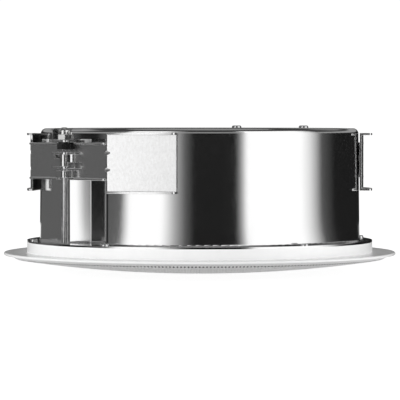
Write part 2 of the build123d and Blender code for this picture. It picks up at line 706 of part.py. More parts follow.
def transformer_parts():
    """Core, winding and channel frame, hung under the top of the can."""
    x, y, d = TRAFO_X, TRAFO_Y, CORE_DEPTH / 2
    roof = CAN_TOP - CAN_T
    top = roof - FRAME_T
    low = top - CORE_H
    core = block(x - CORE_HALF, x + CORE_HALF, y - d, y + d, low, top)
    coil = block(x - COIL_HALF, x + COIL_HALF, y - COIL_DEPTH / 2, y + COIL_DEPTH / 2,
                 low + CORE_YOKE, top - CORE_YOKE)
    coil = fillet(coil.edges().filter_by(Axis.Z), COIL_HALF / 3)
    coil -= block(x - CORE_LIMB, x + CORE_LIMB, y - d, y + d, low, top)
    for side in (-1, 1):
        near, far = sorted((x + side * CORE_LIMB, x + side * COIL_HALF))
        core -= block(near, far, y - CORE_DEPTH, y + CORE_DEPTH, low + CORE_YOKE, top - CORE_YOKE)
    outer = CORE_HALF + FRAME_T
    frame = block(x - outer, x + outer, y - d, y + d, low - FRAME_T, roof)
    frame -= block(x - CORE_HALF, x + CORE_HALF, y - CORE_DEPTH, y + CORE_DEPTH, low, roof + 1)
    for side in (-1, 1):
        ear_x = x + side * TRAFO_EARS
        near, far = sorted((x + side * CORE_HALF, ear_x + side * EAR_REACH))
        frame += block(near, far, y - d, y + d, top, roof)
        frame -= rod(ear_x, y, TOP_SCREW_R, low, CAN_TOP)
    return core, coil, frame


def strip_places():
    first = WELL_X - STRIP_PITCH * (STRIP_WAYS - 1) / 2
    return [first + STRIP_PITCH * k for k in range(STRIP_WAYS)]


def terminal_block():
    """Screw terminal strip sunk in the well of the can."""
    floor = CAN_TOP - WELL_D
    half = STRIP_W / 2
    body = block(WELL_X - STRIP_L / 2, WELL_X + STRIP_L / 2, WELL_Y - half, WELL_Y + half,
                 floor, floor + STRIP_H)
    body = chamfer(body.edges().group_by(Axis.Z)[-1].filter_by(Axis.X), STRIP_H / 7)
    for x in strip_places():
        body -= rod(x, WELL_Y, STRIP_HOLE_R, floor + STRIP_H * 0.35, floor + STRIP_H + 1)
        wire_hole = Rot(90, 0, 0) * Cylinder(WIRE_HOLE_R, STRIP_W * 0.8)
        body -= Pos(x, WELL_Y - half, floor + STRIP_H * 0.34) * wire_hole
    return body


def terminal_screws():
    floor = CAN_TOP - WELL_D
    low, high = floor + STRIP_H * 0.54, floor + STRIP_H * 0.87
    r = STRIP_HOLE_R - STRIP_SCREW_GAP
    shapes = []
    for x in strip_places():
        slot = block(x - STRIP_HOLE_R, x + STRIP_HOLE_R, WELL_Y - r / 6, WELL_Y + r / 6,
                     high - r / 3, high + 1)
        shapes.append(rod(x, WELL_Y, r, low, high) - slot)
    return solid_of(*shapes)


def grille_magnets():
    z = magnet_low()
    return solid_of(*[rod(x, y, MAGNET_R, z, z + MAGNET_T) for x, y in MAGNET_AT])


def main():
    core, coil, frame = transformer_parts()
    nodes = {
        "baffle": baffle_moulding(),
        "grille": grille_sheet(),
        "grille_magnets": grille_magnets(),
        "back_can": back_can(),
        "can_screws": screw_group(CAN_SCREW_AT, CAN_SCREW_HEAD_R, CAN_SCREW_HEAD_T, CAN_SCREW_R,
                                  COLLAR_TOP + FOOT_T, COLLAR_TOP - CAN_SCREW_L, True),
        "driver_basket": driver_basket(),
        "driver_gasket": driver_gasket(),
        "driver_screws": screw_group(DRIVER_SCREW_AT, DRIVER_SCREW_HEAD_R, DRIVER_SCREW_HEAD_T,
                                     DRIVER_SCREW_R, BASKET_FRONT, BOARD_BOTTOM + DRIVER_SCREW_L, False),
        "driver_terminals": driver_terminals(),
        "surround": surround(),
        "cone": cone(),
        "dust_cap": dust_cap(),
        "spider": spider(),
        "voice_coil": voice_coil(),
        "top_plate": top_plate(),
        "magnet": magnet(),
        "pole_yoke": pole_yoke(),
        "transformer_core": core,
        "transformer_winding": coil,
        "transformer_frame": frame,
        "transformer_screws": screw_group(TRAFO_SCREW_AT, TOP_SCREW_HEAD_R, TOP_SCREW_HEAD_T, TOP_SCREW_R,
                                          CAN_TOP, CAN_TOP - TOP_SCREW_L, True),
        "terminal_block": terminal_block(),
        "terminal_screws": terminal_screws(),
    }
    clamp = {
        "clamp_bracket": clamp_bracket(),
        "clamp_nut": clamp_nut(),
        "clamp_spacer": clamp_spacer(),
        "clamp_bush": clamp_bush(),
        "clamp_screw": clamp_screw(),
        "dome_nut": dome_nut(),
    }
    for name, shape in clamp.items():
        left = clamp_frame(shape)
        nodes[name + "_left"] = left
        nodes[name + "_right"] = other_side(left)
    os.makedirs(OUT, exist_ok=True)
    for name, shape in nodes.items():
        export_step(shape, os.path.join(OUT, name + ".step"))


main()
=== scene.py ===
import json
import math

import bpy
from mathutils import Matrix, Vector


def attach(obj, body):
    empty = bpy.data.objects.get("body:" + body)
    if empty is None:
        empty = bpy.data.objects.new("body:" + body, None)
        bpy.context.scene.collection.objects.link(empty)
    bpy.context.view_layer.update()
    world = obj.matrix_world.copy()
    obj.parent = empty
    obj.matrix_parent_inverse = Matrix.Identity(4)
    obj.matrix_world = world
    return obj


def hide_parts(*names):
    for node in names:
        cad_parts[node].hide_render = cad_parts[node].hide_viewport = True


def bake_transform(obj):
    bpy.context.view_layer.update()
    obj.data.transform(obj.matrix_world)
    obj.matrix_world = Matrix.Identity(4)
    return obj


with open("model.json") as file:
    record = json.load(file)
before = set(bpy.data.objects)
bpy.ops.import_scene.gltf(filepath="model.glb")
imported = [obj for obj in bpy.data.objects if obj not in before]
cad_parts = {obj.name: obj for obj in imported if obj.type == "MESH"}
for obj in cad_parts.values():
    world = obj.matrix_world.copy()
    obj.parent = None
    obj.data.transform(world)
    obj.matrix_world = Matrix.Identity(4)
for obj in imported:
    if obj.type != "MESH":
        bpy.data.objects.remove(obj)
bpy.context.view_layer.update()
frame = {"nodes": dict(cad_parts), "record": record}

NODES = frame["nodes"]
SCENE = bpy.context.scene
SCENE.view_settings.view_transform = "Standard"

# Sizes repeated from the part, in metres
GRILLE_LOW = -0.0120
SEAT_Z = -0.0010
GRILLE_R = 0.11084
SHOULDER_R = 0.0039
SHOULDER_END = math.radians(70)
GRILLE_EDGE = 0.000287
GRILLE_T = 0.0008
SCREW_D = 0.0942
CLAMP_AZIMUTH = -54.0
BOARD_BOTTOM = 0.0025
HEAD_R = 0.0038
HEAD_T = 0.0026
SHANK_TOP = 0.0705
SCREW_PITCH = 0.0007
NECK_R = 0.01345
SPIDER_R = 0.0382
SPIDER_Z = 0.0224
SPIDER_T = 0.0005
SPIDER_WAVE = 0.0007
SPIDER_FOLDS = 8
CONE_R = 0.0500
SURROUND_R = 0.0565
SURROUND_Z = 0.0013
SURROUND_T = 0.0006
# facets in a full turn of the soft rings and the cards
ROUND_STEPS = 96


def polar(radius, degrees):
    """Point at an azimuth counted from -Y toward +X."""
    a = math.radians(degrees)
    return radius * math.sin(a), -radius * math.cos(a)


def mesh_object(name, verts, faces, smooth=True):
    mesh = bpy.data.meshes.new(name)
    mesh.from_pydata(verts, [], faces)
    mesh.update()
    for p in mesh.polygons:
        p.use_smooth = smooth
    obj = bpy.data.objects.new(name, mesh)
    SCENE.collection.objects.link(obj)
    return obj


# Nearly all noise lies between these values
NOISE_LOW, NOISE_HIGH = 0.3, 0.7
NOISE_ROUGH = 0.55
BROAD_DETAIL, FINE_DETAIL = 2.0, 4.0
BROAD_SHARE = 0.12
BEVEL_SAMPLES = 6


class Nodes:
    """Small helper that builds the node tree of a material or a world."""

    def __init__(self, owner, output="ShaderNodeOutputMaterial"):
        owner.use_nodes = True
        self.owner = owner
        self.tree = owner.node_tree
        self.tree.nodes.clear()
        self.out = self.add(output)

    def add(self, kind, **values):
        node = self.tree.nodes.new(kind)
        for key, value in values.items():
            setattr(node, key, value)
        return node

    def link(self, a, b):
        self.tree.links.new(a, b)

    def coords(self, scale):
        """Object coordinates stretched by scale."""
        tex = self.add("ShaderNodeTexCoord")
        mapping = self.add("ShaderNodeMapping")
        mapping.inputs["Scale"].default_value = scale
        self.link(tex.outputs["Object"], mapping.inputs["Vector"])
        return mapping.outputs["Vector"]

    def noise(self, vector, scale, detail):
        node = self.add("ShaderNodeTexNoise")
        node.inputs["Scale"].default_value = scale
        node.inputs["Detail"].default_value = detail
        node.inputs["Roughness"].default_value = NOISE_ROUGH
        self.link(vector, node.inputs["Vector"])
        return node.outputs["Fac"]

    def mottle(self, vector, grain):
        """Broad and fine noise of one finish."""
        return self.noise(vector, grain * BROAD_SHARE, BROAD_DETAIL), self.noise(vector, grain, FINE_DETAIL)

    def ramp(self, fac, stops):
        """Colour by place; a plain number is a grey."""
        node = self.add("ShaderNodeValToRGB")
        line = node.color_ramp
        while len(line.elements) < len(stops):
            line.elements.new(0.5)
        for element, (place, colour) in zip(line.elements, stops):
            element.position = place
            element.color = (*colour, 1.0) if isinstance(colour, tuple) else (colour, colour, colour, 1.0)
        self.link(fac, node.inputs["Fac"])
        return node.outputs["Color"]

    def spread(self, fac, low, high):
        """Noise stretched to run from low to high."""
        node = self.add("ShaderNodeMapRange")
        node.inputs["From Min"].default_value = NOISE_LOW
        node.inputs["From Max"].default_value = NOISE_HIGH
        node.inputs["To Min"].default_value = low
        node.inputs["To Max"].default_value = high
        self.link(fac, node.inputs["Value"])
        return node.outputs["Result"]

    def math(self, operation, a, b=None):
        node = self.add("ShaderNodeMath", operation=operation)
        for socket, value in zip(node.inputs, (a, b)):
            if value is None:
                continue
            if isinstance(value, (int, float)):
                socket.default_value = value
            else:
                self.link(value, socket)
        return node.outputs["Value"]

    def rounded(self, radius):
        """Normal of the surface with its edges rounded off by the radius."""
        node = self.add("ShaderNodeBevel", samples=BEVEL_SAMPLES)
        node.inputs["Radius"].default_value = radius
        return node.outputs["Normal"]

    def wear(self, normal, amount):
        """Amount that grows from 0 on flats to about a third of the amount at right-angled edges."""
        dot = self.add("ShaderNodeVectorMath", operation="DOT_PRODUCT")
        self.link(normal, dot.inputs[0])
        self.link(self.add("ShaderNodeNewGeometry").outputs["Normal"], dot.inputs[1])
        return self.math("MULTIPLY", self.math("SUBTRACT", 1.0, dot.outputs["Value"]), amount)

    def bump(self, height, strength, distance, normal=None):
        """Fine relief over the given normal."""
        node = self.add("ShaderNodeBump")
        if normal:
            self.link(normal, node.inputs["Normal"])
        node.inputs["Strength"].default_value = strength
        node.inputs["Distance"].default_value = distance
        self.link(height, node.inputs["Height"])
        return node.outputs["Normal"]

    def principled(self, **sockets):
        """Shader whose sockets take a number or an output of another node."""
        node = self.add("ShaderNodeBsdfPrincipled")
        for key, value in sockets.items():
            socket = node.inputs[key.replace("_", " ")]
            if isinstance(value, (int, float)):
                socket.default_value = value
            else:
                self.link(value, socket)
        self.link(node.outputs["BSDF"], self.out.inputs["Surface"])


# roughness added at an edge, in shares of how far its rounded normal turns away
EDGE_WEAR = 2.2


def surface(name, dark, light, rough, grain, bump, depth, metallic=0.0, stretch=(1, 1, 1), edge=0.0):
    """One finish: two close tones mottled by noise, uneven roughness, a fine bump and, with edge, edges that
    are rounded and duller."""
    n = Nodes(bpy.data.materials.new(name))
    broad, fine = n.mottle(n.coords(stretch), grain)
    gloss = n.spread(fine, *rough)
    rounded = None
    if edge:
        rounded = n.rounded(edge)
        gloss = n.math("ADD", gloss, n.wear(rounded, EDGE_WEAR))
    n.principled(
        Base_Color=n.ramp(broad, [(NOISE_LOW, dark), (NOISE_HIGH, light)]),
        Roughness=gloss,
        Normal=n.bump(fine, bump, depth, rounded),
        Metallic=metallic)
    return n.owner


# grain is the scale of the fine noise, and depth, in metres, that of the bump
FINISH_VALUES = {
    "plated_steel": dict(
        dark=0.91, light=0.93, rough=(0.08, 0.12), grain=900, bump=0.015, depth=0.00002,
        metallic=1.0, stretch=(1, 1, 0.25)),
    "bracket_zinc": dict(
        dark=0.87, light=0.95, rough=(0.15, 0.25), grain=7000, bump=0.05, depth=0.00002,
        metallic=1.0, stretch=(1, 1, 0.6), edge=0.00045),
    "screw_zinc": dict(
        dark=(0.74, 0.74, 0.75), light=0.84, rough=(0.16, 0.26), grain=2500, bump=0.03, depth=0.00002,
        metallic=1.0),
    "nut_zinc": dict(
        dark=(0.74, 0.74, 0.75), light=0.84, rough=(0.20, 0.32), grain=2500, bump=0.05, depth=0.00002,
        metallic=1.0, edge=0.0003),
    "spacer_nickel": dict(
        dark=(0.86, 0.86, 0.85), light=(0.92, 0.92, 0.91), rough=(0.16, 0.24), grain=2000, bump=0.03,
        depth=0.00002, metallic=1.0, edge=0.0003),
    "dome_nickel": dict(
        dark=(0.82, 0.82, 0.81), light=(0.90, 0.90, 0.89), rough=(0.16, 0.26), grain=2000, bump=0.03,
        depth=0.00002, metallic=1.0, edge=0.0004),
    "white_plastic": dict(
        dark=0.88, light=0.90, rough=(0.18, 0.26), grain=1800, bump=0.05, depth=0.00003),
    "magnet_nickel": dict(
        dark=(0.62, 0.61, 0.58), light=(0.72, 0.71, 0.68), rough=(0.2, 0.3), grain=1500, bump=0.04,
        depth=0.00002, metallic=1.0),
    "basket_black": dict(
        dark=(0.018, 0.018, 0.019), light=(0.03, 0.03, 0.031), rough=(0.42, 0.6), grain=2200, bump=0.15,
        depth=0.00005),
    "gasket_black": dict(
        dark=0.02, light=0.035, rough=(0.8, 0.95), grain=2600, bump=0.3, depth=0.0001),
    "screw_black": dict(
        dark=(0.03, 0.03, 0.032), light=(0.06, 0.06, 0.062), rough=(0.3, 0.45), grain=2500, bump=0.05,
        depth=0.00002, metallic=0.8),
    "terminal_board": dict(
        dark=(0.30, 0.18, 0.08), light=(0.38, 0.24, 0.12), rough=(0.45, 0.6), grain=1400, bump=0.1,
        depth=0.00004),
    "surround_rubber": dict(
        dark=0.022, light=0.032, rough=(0.5, 0.65), grain=2000, bump=0.1, depth=0.00004),
    "cone_paper": dict(
        dark=(0.035, 0.034, 0.033), light=(0.07, 0.068, 0.065), rough=(0.75, 0.9), grain=1200, bump=0.4,
        depth=0.00012),
    "cap_paper": dict(
        dark=0.03, light=0.05, rough=(0.6, 0.75), grain=1500, bump=0.25, depth=0.00008),
    "spider_cloth": dict(
        dark=(0.42, 0.26, 0.09), light=(0.52, 0.35, 0.15), rough=(0.8, 0.95), grain=2200, bump=0.4,
        depth=0.0001),
    "coil_copper": dict(
        dark=(0.70, 0.33, 0.18), light=(0.80, 0.42, 0.25), rough=(0.25, 0.4), grain=3000, bump=0.1,
        depth=0.00003, metallic=1.0),
    "motor_steel": dict(
        dark=(0.55, 0.54, 0.48), light=(0.66, 0.65, 0.58), rough=(0.28, 0.42), grain=1400, bump=0.06,
        depth=0.00003, metallic=1.0),
    "ferrite": dict(
        dark=(0.045, 0.045, 0.048), light=(0.075, 0.075, 0.078), rough=(0.55, 0.75), grain=1600, bump=0.2,
        depth=0.00006),
    "core_steel": dict(
        dark=(0.20, 0.20, 0.21), light=(0.30, 0.30, 0.31), rough=(0.35, 0.55), grain=1600, bump=0.2,
        depth=0.00006, metallic=0.8, stretch=(1, 1, 6)),
    "winding_tape": dict(
        dark=(0.50, 0.38, 0.06), light=(0.60, 0.46, 0.10), rough=(0.3, 0.45), grain=1000, bump=0.1,
        depth=0.00005),
    "frame_zinc": dict(
        dark=(0.66, 0.66, 0.67), light=0.78, rough=(0.25, 0.38), grain=1200, bump=0.06, depth=0.00003,
        metallic=1.0),
    "terminal_black": dict(
        dark=0.02, light=0.035, rough=(0.4, 0.55), grain=2000, bump=0.1, depth=0.00004),
    "bush_black": dict(
        dark=0.008, light=0.02, rough=(0.20, 0.32), grain=2200, bump=0.08, depth=0.00003, edge=0.0004),
}
FINISHES = {name: surface(name, **values) for name, values in FINISH_VALUES.items()}
SLOT_OF = {part["node"]: part["material_slot"] for part in frame["record"]["subparts"]}


def dress(obj, slot_name):
    obj.data.materials.clear()
    obj.data.materials.append(FINISHES[slot_name])


# Perforated grille: a diagonal lattice of square holes, and a ring of upright holes along the shoulder
FIELD_PITCH = 0.002263
FIELD_HOLE = 0.00115
FIELD_TO = 0.1076
RING_COUNT = 340
RING_AT = 0.1095
RING_WIDE = 0.00095
RING_TALL = 0.0018
RING_WEB = 0.0003
RIM_STEP = 0.0004
SAME_POINT = 1e-7
# depth below the outer face where the painted shade of the holes starts, and the share of the paint's tone
# that this painted shade takes away
HOLE_SHADE = 0.0002
HOLE_PAINTED_SHADE = 0.96
PAINT_TONE = (0.72, 0.76)
PAINT_ROUGH = (0.42, 0.55)
PAINT_GRAIN = 3000
PAINT_BUMP = 0.10
PAINT_DEPTH = 0.00003
# the dome and the shoulder's bend in section, and lengths along the sheet from the axis
SHOULDER_CR = GRILLE_R - SHOULDER_R * math.sin(SHOULDER_END)
SHOULDER_CZ = SEAT_Z - GRILLE_EDGE + SHOULDER_R * math.cos(SHOULDER_END)
SHOULDER_UP = SHOULDER_CZ - GRILLE_LOW
DOME_R = (SHOULDER_UP ** 2 + SHOULDER_CR ** 2 - SHOULDER_R ** 2) / (2 * (SHOULDER_UP - SHOULDER_R))
DOME_END = math.asin(SHOULDER_CR / (DOME_R - SHOULDER_R))
S_DOME = DOME_R * DOME_END
S_SHOULDER = S_DOME + SHOULDER_R * (SHOULDER_END - DOME_END)
S_END = S_SHOULDER + GRILLE_EDGE


def grille_finish():
    """White paint outside, with painted shade on the holes' walls and the inner face from HOLE_SHADE below
    the outer face, so that the holes look hollow.
    """
    n = Nodes(bpy.data.materials.new("grille_white"))
    at = n.coords((1, 1, 1))
    broad, fine = n.mottle(at, PAINT_GRAIN)
    split = n.add("ShaderNodeSeparateXYZ")
    n.link(at, split.inputs["Vector"])

    def length(a, b):
        return n.math("SQRT", n.math("ADD", n.math("MULTIPLY", a, a), n.math("MULTIPLY", b, b)))

    z = split.outputs["Z"]
    r = length(split.outputs["X"], split.outputs["Y"])
    dome = n.math("SUBTRACT", DOME_R, length(r, n.math("SUBTRACT", z, GRILLE_LOW + DOME_R)))
    shoulder = length(n.math("SUBTRACT", r, SHOULDER_CR), n.math("SUBTRACT", z, SHOULDER_CZ))
    shoulder = n.math("SUBTRACT", SHOULDER_R, shoulder)
    outside = n.math("GREATER_THAN", r, DOME_R * math.sin(DOME_END))
    depth = n.math("ADD", n.math("MULTIPLY", shoulder, outside),
                   n.math("MULTIPLY", dome, n.math("SUBTRACT", 1.0, outside)))
    # painted shade: the paint is darkened below HOLE_SHADE, standing in for the shade inside the holes
    in_painted_shade = n.math("GREATER_THAN", depth, HOLE_SHADE)
    painted_shade_factor = n.math("SUBTRACT", 1.0, n.math("MULTIPLY", in_painted_shade, HOLE_PAINTED_SHADE))
    n.principled(
        Base_Color=n.math("MULTIPLY", n.spread(broad, *PAINT_TONE), painted_shade_factor),
        Roughness=n.spread(fine, *PAINT_ROUGH),
        Normal=n.bump(fine, PAINT_BUMP, PAINT_DEPTH))
    return n.owner


FINISHES["grille_white"] = grille_finish()


def sheet_point(s, inset):
    """Radius and height on the grille at arc length s from the axis, inset from the outer face."""
    if s <= S_DOME:
        a, bend = s / DOME_R, DOME_R - inset
        return bend * math.sin(a), GRILLE_LOW + DOME_R - bend * math.cos(a)
    a, bend = min(DOME_END + (s - S_DOME) / SHOULDER_R, SHOULDER_END), SHOULDER_R - inset
    edge = max(s - S_SHOULDER, 0.0)
    return SHOULDER_CR + bend * math.sin(a), SHOULDER_CZ - bend * math.cos(a) + edge


class Sheet:
    """Both faces of the grille, addressed by points on the flat blank."""

    def __init__(self):
        self.verts, self.faces, self.index = [], [], {}

    def vert(self, point, layer):
        """Index of the point on the outer face, layer 0, or the inner one; points are shared."""
        x, y = point
        key = (round(x / SAME_POINT), round(y / SAME_POINT), layer)
        if key not in self.index:
            s = math.hypot(x, y)
            r, z = sheet_point(s, GRILLE_T if layer else 0.0)
            scale = r / s if s > SAME_POINT else 0.0
            self.index[key] = len(self.verts)
            self.verts.append((x * scale, y * scale, z))
        return self.index[key]

    def skin(self, *points):
        """One facet on each face, its points counted round as seen from above."""
        self.faces.append(tuple(self.vert(p, 0) for p in points[::-1]))
        self.faces.append(tuple(self.vert(p, 1) for p in points))

    def wall(self, a, b):
        """Cut edge between the two faces."""
        self.faces.append((self.vert(b, 0), self.vert(a, 0), self.vert(a, 1), self.vert(b, 1)))

    def cell(self, corners, hole):
        """Four-cornered cell with a four-cornered hole."""
        for k in range(4):
            m = (k + 1) % 4
            self.skin(corners[k], corners[m], hole[k])
            self.skin(corners[m], hole[m], hole[k])
            self.wall(hole[k], hole[m])


def flat_polar(s, angle):
    """Point on the flat blank."""
    return s * math.cos(angle), s * math.sin(angle)


def hole_field(sheet):
    """Lattice of holes inside FIELD_TO; returns the border as a loop of points, counted round."""
    half, q = FIELD_PITCH / math.sqrt(2), FIELD_HOLE / 2
    reach = int(FIELD_TO / FIELD_PITCH) + 1
    edges = {}
    for i in range(-reach, reach + 1):
        for j in range(-reach, reach + 1):
            x, y = (i - j) * half, (i + j) * half
            if math.hypot(x, y) + half > FIELD_TO:
                continue
            corners = [(x + half, y), (x, y + half), (x - half, y), (x, y - half)]
            sheet.cell(corners, [(x + q, y + q), (x - q, y + q), (x - q, y - q), (x + q, y - q)])
            keys = [(i - j + 1, i + j), (i - j, i + j + 1), (i - j - 1, i + j), (i - j, i + j - 1)]
            for k in range(4):
                a, b = keys[k], keys[(k + 1) % 4]
                if (b, a) in edges:
                    del edges[(b, a)]
                else:
                    edges[(a, b)] = None
    follow = dict(edges.keys())
    at = first = min(follow)
    loop = []
    while True:
        loop.append((at[0] * half, at[1] * half))
        at = follow[at]
        if at == first:
            return loop


def hole_ring(sheet):
    """Ring of upright holes; returns its inner border, the angles of its cells' sides and its outer reach."""
    half, qa, q = math.pi / RING_COUNT, RING_WIDE / 2 / RING_AT, RING_TALL / 2
    low, high = RING_AT - q - RING_WEB, RING_AT + q + RING_WEB

    def sector(inner, outer, a, turn):
        return [flat_polar(inner, a - turn), flat_polar(outer, a - turn), flat_polar(outer, a + turn),
                flat_polar(inner, a + turn)]

    for k in range(RING_COUNT):
        a = 2 * k * half
        sheet.cell(sector(low, high, a, half), sector(RING_AT - q, RING_AT + q, a, qa))
    angles = [(2 * k + 1) * half for k in range(RING_COUNT)]
    return [flat_polar(low, a) for a in angles], angles, high


def join_loops(sheet, inner, outer):
    """Plain strip between two loops, stepping along whichever lags behind."""
    def turned(loop):
        angles = [math.atan2(p[1], p[0]) % (2 * math.pi) for p in loop]
        first = angles.index(min(angles))
        loop = loop[first:] + loop[:first]
        return loop + loop[:1], sorted(angles) + [min(angles) + 2 * math.pi]

    (inner, inner_at), (outer, outer_at) = turned(inner), turned(outer)
    i = j = 0
    while i < len(inner) - 1 or j < len(outer) - 1:
        if j == len(outer) - 1 or (i < len(inner) - 1 and inner_at[i + 1] <= outer_at[j + 1]):
            sheet.skin(inner[i], outer[j], inner[i + 1])
            i += 1
        else:
            sheet.skin(inner[i], outer[j], outer[j + 1])
            j += 1


def build_grille():
    """Lattice, ring of holes, the strip between them and the plain rim."""
    sheet = Sheet()
    border = hole_field(sheet)
    ring, angles, last = hole_ring(sheet)
    join_loops(sheet, border, ring)
    for s in (last + RIM_STEP, S_SHOULDER, S_END):
        for a, b in zip(angles, angles[1:] + angles[:1]):
            sheet.skin(flat_polar(last, a), flat_polar(s, a), flat_polar(s, b), flat_polar(last, b))
        last = s
    for a, b in zip(angles, angles[1:] + angles[:1]):
        sheet.wall(flat_polar(last, b), flat_polar(last, a))
    return mesh_object("grille_mesh", sheet.verts, sheet.faces, False)


grille = build_grille()
dress(grille, "grille_white")
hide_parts("grille")
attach(grille, "housing")


# Long clamp screws with a real thread, a rounded head and a cross drive
THREAD_STEPS = 20
# radius, and height in shares of the pitch, across one turn of the thread
THREAD_PROFILE = [(0.00176, 0.05), (0.00198, 0.28), (0.00198, 0.72), (0.00176, 0.95)]
THREAD_LOW = BOARD_BOTTOM - 0.0001
THREAD_HIGH = SHANK_TOP - 0.0002
HEAD_STEPS = 48
HEAD_LOW = BOARD_BOTTOM - HEAD_T
HEAD_SEAT_R = 0.98 * HEAD_R
HEAD_CHAMFER = 0.0003
HEAD_ROUND = 0.0014
ROUND_TURNS = [math.radians(a) for a in (15, 30, 45, 60, 75, 90)]
# radii of the flat end of the head; the cross is sunk from the second one inwards
DRIVE_RINGS = [0.0022, 0.0019, 0.0015, 0.0011, 0.0007]
DRIVE_HALF = 0.00052
DRIVE_DEPTH = 0.0012
DRIVE_MIDDLE = 0.0013


def thread_mesh(x, y):
    """Points and faces of the thread, closed by a fan at each end."""
    verts, faces = [], []
    turns = int((SHANK_TOP - BOARD_BOTTOM) / SCREW_PITCH) - 1
    total = turns * THREAD_STEPS
    wide = len(THREAD_PROFILE)
    for k in range(total + 1):
        a = 2 * math.pi * k / THREAD_STEPS
        lift = BOARD_BOTTOM + SCREW_PITCH * k / THREAD_STEPS
        for r, part in THREAD_PROFILE:
            verts.append((x + r * math.cos(a), y + r * math.sin(a), lift + part * SCREW_PITCH))
    for k in range(total):
        for j in range(wide - 1):
            a, b = k * wide + j, (k + 1) * wide + j
            faces.append((a, b, b + 1, a + 1))
        if k + THREAD_STEPS < total:
            a, b = k * wide + wide - 1, (k + 1) * wide + wide - 1
            faces.append((a, b, (k + 1 + THREAD_STEPS) * wide, (k + THREAD_STEPS) * wide))
    low_loop = [k * wide for k in range(THREAD_STEPS + 1)] + list(range(wide - 1, 0, -1))
    last = total - THREAD_STEPS
    high_loop = [(last + k) * wide + wide - 1 for k in range(THREAD_STEPS + 1)]
    high_loop += [total * wide + j for j in range(wide - 2, -1, -1)]
    for loop, z, up in ((low_loop, THREAD_LOW, False), (high_loop, THREAD_HIGH, True)):
        centre = len(verts)
        verts.append((x, y, z))
        for k in range(len(loop)):
            tri = (loop[k], loop[(k + 1) % len(loop)], centre)
            faces.append(tri if up else tri[::-1])
    return verts, faces


def head_profile():
    """Radius and height from the seat round to the drive."""
    profile = [(HEAD_SEAT_R, BOARD_BOTTOM), (HEAD_R, BOARD_BOTTOM - HEAD_CHAMFER)]
    for a in ROUND_TURNS:
        profile.append((HEAD_R - HEAD_ROUND + HEAD_ROUND * math.cos(a),
                        HEAD_LOW + HEAD_ROUND - HEAD_ROUND * math.sin(a)))
    return profile + [(r, HEAD_LOW) for r in DRIVE_RINGS]


def in_drive(r, a):
    """Whether a point of the head's end lies in the cross."""
    arm = min(abs(math.sin(a)), abs(math.cos(a))) * r < DRIVE_HALF
    return r == DRIVE_RINGS[-1] or (r in DRIVE_RINGS[1:] and arm)


def head_mesh(x, y, first):
    """Points and faces of the head; its points are counted from first."""
    verts, faces = [], []
    profile = head_profile()
    for r, z in profile:
        for k in range(HEAD_STEPS):
            a = 2 * math.pi * k / HEAD_STEPS
            depth = DRIVE_DEPTH if in_drive(r, a) else 0.0
            verts.append((x + r * math.cos(a), y + r * math.sin(a), z + depth))
    top, bottom = first + len(verts), first + len(verts) + 1
    verts.append((x, y, BOARD_BOTTOM))
    verts.append((x, y, HEAD_LOW + DRIVE_MIDDLE))
    end = first + (len(profile) - 1) * HEAD_STEPS
    for k in range(HEAD_STEPS):
        m = (k + 1) % HEAD_STEPS
        faces.append((first + k, first + m, top))
        for a in range(first, end, HEAD_STEPS):
            faces.append((a + m, a + k, a + HEAD_STEPS + k, a + HEAD_STEPS + m))
        faces.append((end + m, end + k, bottom))
    return verts, faces


def threaded_screw(name, x, y):
    verts, faces = thread_mesh(x, y)
    head_verts, head_faces = head_mesh(x, y, len(verts))
    return mesh_object(name, verts + head_verts, faces + head_faces)


for side, turn in (("left", 0.0), ("right", 180.0)):
    place = polar(SCREW_D, CLAMP_AZIMUTH + turn)
    screw = threaded_screw("clamp_thread_" + side, *place)
    dress(screw, "screw_zinc")
    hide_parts("clamp_screw_" + side)
    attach(screw, "screw_" + side)
    # in the photograph the can's wall shows no reflection of the screw beside it
    screw.visible_glossy = False

# Spider and surround of the driver, cut in sectors
FOLD_STEPS = 4
ROLL_STEPS = 16
SPIDER_SECTORS = 8
SURROUND_SECTORS = 24


def spider_profile():
    """Outline of the corrugated disc, as radius and height."""
    low, top = [], []
    lifts = [0.0] + [SPIDER_WAVE if k % 2 else -SPIDER_WAVE for k in range(1, SPIDER_FOLDS)] + [0.0, 0.0]
    for k in range(SPIDER_FOLDS * FOLD_STEPS + 1):
        r = NECK_R + (SPIDER_R - NECK_R) * k / (SPIDER_FOLDS * FOLD_STEPS)
        fold, step = divmod(k, FOLD_STEPS)
        ease = (1 - math.cos(math.pi * step / FOLD_STEPS)) / 2
        z = SPIDER_Z + lifts[fold] + (lifts[fold + 1] - lifts[fold]) * ease
        low.append((r, z))
        top.append((r, z + SPIDER_T))
    return low + top[::-1]


def surround_profile():
    """Outline of the half roll, bulging to the front."""
    mid, half = (CONE_R + SURROUND_R) / 2, (SURROUND_R - CONE_R) / 2
    thin = half - SURROUND_T
    turns = [math.pi * (1 + k / ROLL_STEPS) for k in range(ROLL_STEPS + 1)]
    low = [(mid + half * math.cos(a), SURROUND_Z + half * math.sin(a)) for a in turns]
    top = [(mid + thin * math.cos(a), SURROUND_Z + SURROUND_T + thin * math.sin(a)) for a in turns]
    return low + [(SURROUND_R, SURROUND_Z + SURROUND_T)] + top[::-1] + [(CONE_R, SURROUND_Z + SURROUND_T)]


